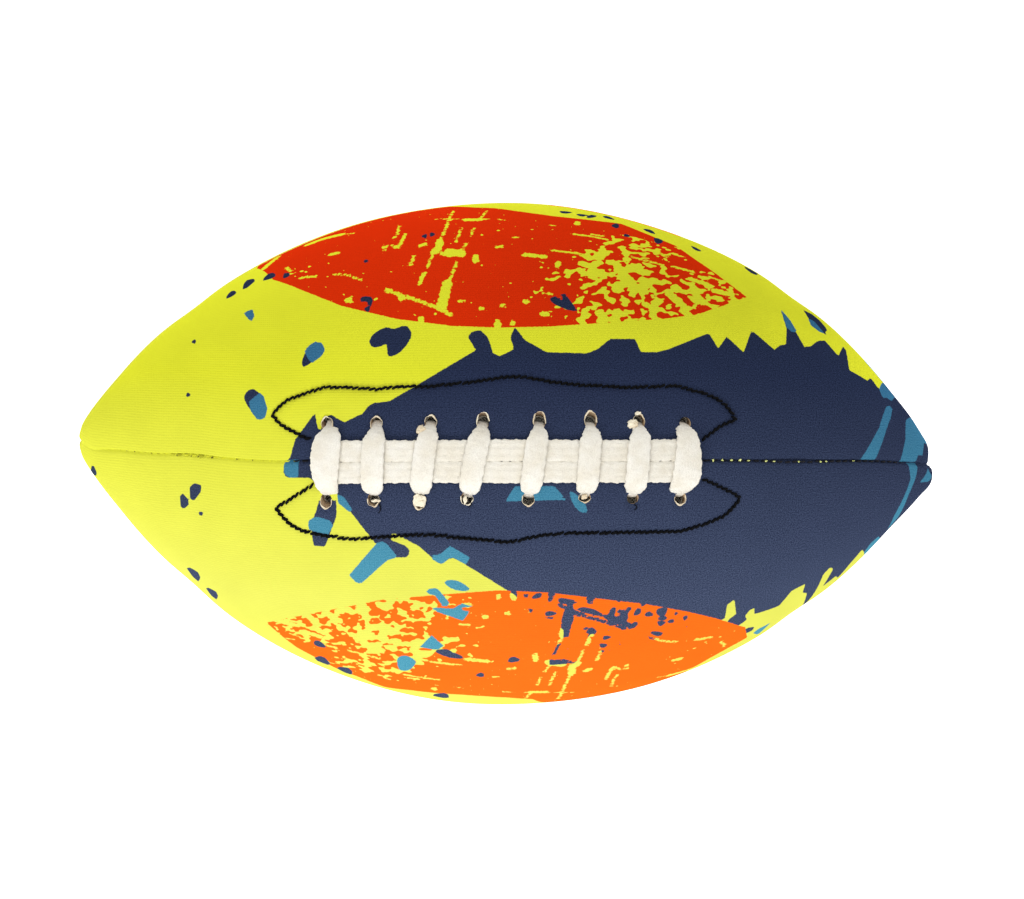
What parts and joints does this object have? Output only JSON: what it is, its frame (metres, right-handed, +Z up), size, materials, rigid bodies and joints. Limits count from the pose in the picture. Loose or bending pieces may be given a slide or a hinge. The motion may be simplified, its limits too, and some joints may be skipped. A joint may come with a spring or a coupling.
{
  "type": "rugby ball",
  "caption": "Pointed inflatable ball of printed foam fabric, sewn from panels over an air bladder and closed on top by a flat cotton lace.",
  "frame": {"origin": "middle of the base of the bounding box, under the ball's centre, where the ball lies on the floor with its lace on top", "axes": "+X along the ball's long axis, +Y towards the rear panels, +Z up through the middle of the lace"},
  "size_m": [0.28, 0.165, 0.1681],
  "materials": {
    "printed_cover": "matt knitted jersey on foam, printed in yellow-green, orange-red, navy and teal",
    "woven_lining": "plain woven cotton and polyester, matt",
    "black_thread": "twisted polyester thread, slight sheen",
    "cotton_lace": "thick ribbed cotton, slightly fuzzy",
    "bladder_rubber": "smooth butyl",
    "valve_rubber": "moulded rubber, satin"
  },
  "bodies": {
    "root": {"panel_upper_rear": "printed_cover", "panel_upper_front": "printed_cover", "panel_lower_front": "printed_cover", "panel_lower_rear": "printed_cover", "lining_upper_rear": "woven_lining", "lining_upper_front": "woven_lining", "lining_lower_front": "woven_lining", "lining_lower_rear": "woven_lining", "lace_patch_rear": "woven_lining", "lace_patch_front": "woven_lining", "patch_stitching_rear": "black_thread", "patch_stitching_front": "black_thread", "lace": "cotton_lace", "bladder_guard": "woven_lining", "bladder": "bladder_rubber", "valve_housing": "valve_rubber", "valve_core": "valve_rubber", "seam_thread_top_left": "black_thread", "seam_thread_top_right": "black_thread", "seam_thread_front": "black_thread", "seam_thread_bottom": "black_thread", "seam_thread_rear": "black_thread"}
  },
  "joints": []
}
